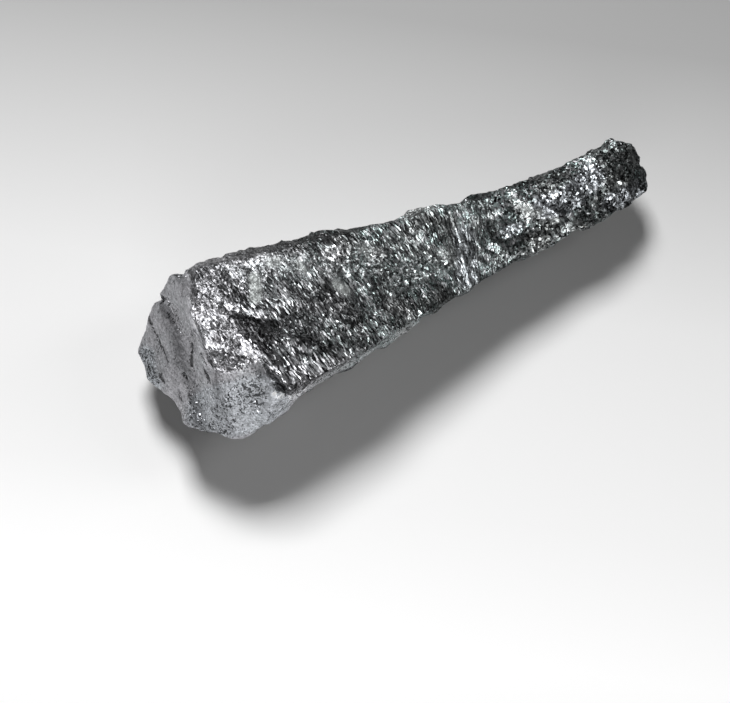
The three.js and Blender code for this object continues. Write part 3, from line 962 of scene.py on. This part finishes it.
def nearness(tree, normal, zone):
    """How near the surface lies to the slant that mirrors the key light."""
    near = maths(tree, "MULTIPLY_ADD", zone["glint"], NEAR_GAIN, dot(tree, normal, GLINT_SLANT))
    return spread(tree, near, *NEAR_SLANTS)


def crystal_normal(tree, normal, slant, bright, near, smooth):
    """Each crystal's own slant. The bright ones mostly turn to where they mirror the key light, except
    where that is too far from how the surface lies."""
    turn = product(tree, bright, near, maths(tree, "SUBTRACT", MOST_TURN, smooth, clamp=True))
    turned = mixed_vector(tree, turn, normal, GLINT_SLANT)
    lean = mixed(tree, smooth, mixed(tree, bright, DARK_LEAN, BRIGHT_LEAN), SMOOTH_LEAN)
    return vector_maths(tree, "NORMALIZE", vector_maths(tree, "ADD", turned, scaled(tree, slant, lean)))


def crystal_grey(tree, bent, zone, chance, bright, near):
    """How much light each crystal of the rough faces gives back. Bright ones that can't turn to the key
    light give back more, as a painted highlight, and the shadow and glint strokes paint shade and
    highlight into the dark ones."""
    dark = spread(tree, maths(tree, "POWER", chance, DARK_CURVE), 0.0, 1.0, *DARK_GREYS)
    for name, gain in DARK_GAINS.items():
        dark = gained(tree, dark, zone[name], gain)
    turned = spread(tree, chance, 0.0, 1.0, *TURNED_GREYS)
    painted_highlight = spread(tree, chance, 0.0, 1.0, *PAINTED_HIGHLIGHT_GREYS)
    light = gained(tree, mixed(tree, near, painted_highlight, turned), zone["grainy"], BRIGHT_GRAIN_GAIN)
    fine = spread(tree, noise(tree, bent, "fine"), *FINE_GREYS)
    grey = product(tree, mixed(tree, bright, dark, light), fine)
    return mixed(tree, zone["patch"], grey, PATCH_GREY)


def end_grey(tree, bent, zone):
    """The smooth broken end: faint fibres, and a corner painted paler as painted light."""
    fibres = spread(tree, noise(tree, bent, "fibres"), *FIBRE_GREYS)
    return gained(tree, fibres, zone["cool"], COOL_PAINTED_LIGHT_GAIN)


def marked_grey(tree, grey, place, zone, smooth, speck):
    """The grey with specks all over, clusters of dark ones as pits, strata in the rough faces, and painted
    light on the pale strips, which is mottled."""
    pitted = maths(tree, "MULTIPLY_ADD", zone["pit"], PIT_GAIN, PIT_CHANCE)
    pitted = spread(tree, maths(tree, "SUBTRACT", speck[1], pitted), *SPECK_EDGE, *PIT_GREYS)
    grey = product(tree, grey, spread(tree, speck[0], 0.0, 1.0, *SPECK_GREYS), pitted)
    strata = spread(tree, noise(tree, place, "strata"), *STRATA_GREYS)
    grey = product(tree, grey, mixed(tree, smooth, strata, 1.0))
    # Painted light: the pale strips are painted paler, in mottles.
    return gained(tree, grey, zone["pale"], spread(tree, noise(tree, place, "mottles"), *MOTTLE_GAINS))


def silicon_tint(tree, place, zone, chance):
    """A faint hue: teal and violet crystals, more towards the tip, and a bluish corner."""
    along = node(tree, "ShaderNodeSeparateXYZ", Vector=place).outputs[0]
    towards_tip = spread(tree, along, HUE_FROM, HUE_FULL, LEAST_HUE, 1.0)
    hued = product(tree, spread(tree, noise(tree, place, "hues"), *TEAL_REGIONS), towards_tip)
    hue = mixed_colour(tree, spread(tree, chance, *HUE_CHANCES), TEAL, VIOLET)
    tint = mixed_colour(tree, hued, mixed_colour(tree, towards_tip, PLAIN_AT_END, PLAIN_AT_TIP), hue)
    tint = mixed_colour(tree, zone["cool"], tint, COOL_TINT)
    return mixed_colour(tree, zone["patch"], tint, PATCH_TINT)


def silicon_material():
    material, tree = new_material("silicon")
    zone = {name: attribute(tree, name) for name in ZONES}
    place = attribute(tree, "place", "Vector")
    bent = bent_grain(tree, attribute(tree, "grain", "Vector"), place)
    blocky = maths(tree, "MAXIMUM", zone["tip"], zone["grainy"])
    slant, chances, speck = crystal_cells(tree, bent, place, zone, blocky)
    end, spark = end_and_sparks(tree, bent, zone, speck[2])
    smooth = maths(tree, "MULTIPLY", end, maths(tree, "SUBTRACT", 1.0, spark))
    bright = bright_share(tree, bent, place, zone, blocky, chances[0])
    bright = maths(tree, "MAXIMUM", bright, maths(tree, "MULTIPLY", end, spark))
    normal = mean_normal(tree)
    near = nearness(tree, normal, zone)
    grey = crystal_grey(tree, bent, zone, chances[1], bright, near)
    grey = mixed(tree, smooth, grey, end_grey(tree, bent, zone))
    grey = grey_colour(tree, marked_grey(tree, grey, place, zone, smooth, speck))
    colour = mixed_colour(tree, 1.0, grey, silicon_tint(tree, place, zone, chances[2]), "MULTIPLY")
    colour = mixed_colour(tree, zone["skin"], colour, SKIN_COLOUR)
    smooth = maths(tree, "MAXIMUM", smooth, zone["patch"])
    rough = mixed(tree, bright, spread(tree, chances[2], 0.0, 1.0, *DARK_ROUGHNESS), BRIGHT_ROUGHNESS)
    rough = mixed(tree, smooth, rough, SMOOTH_ROUGHNESS)
    rough = mixed(tree, zone["skin"], rough, SKIN_ROUGHNESS)
    leant = crystal_normal(tree, normal, slant, bright, near, smooth)
    looks = {"Base Color": colour, "Metallic": 1.0, "Roughness": rough, "Normal": leant}
    shader = node(tree, "ShaderNodeBsdfPrincipled", **looks)
    node(tree, "ShaderNodeOutputMaterial", Surface=shader.outputs[0])
    return material


def add_lump():
    mesh = fine_lump(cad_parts["silicon_lump"])
    mesh.materials.clear()
    mesh.materials.append(silicon_material())
    lump = bpy.data.objects.new("lump", mesh)
    bpy.context.scene.collection.objects.link(lump)
    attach(lump, "root")
    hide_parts("silicon_lump")


bpy.context.scene.view_settings.view_transform = "Standard"
add_camera()
add_floor()
add_light()
add_lump()
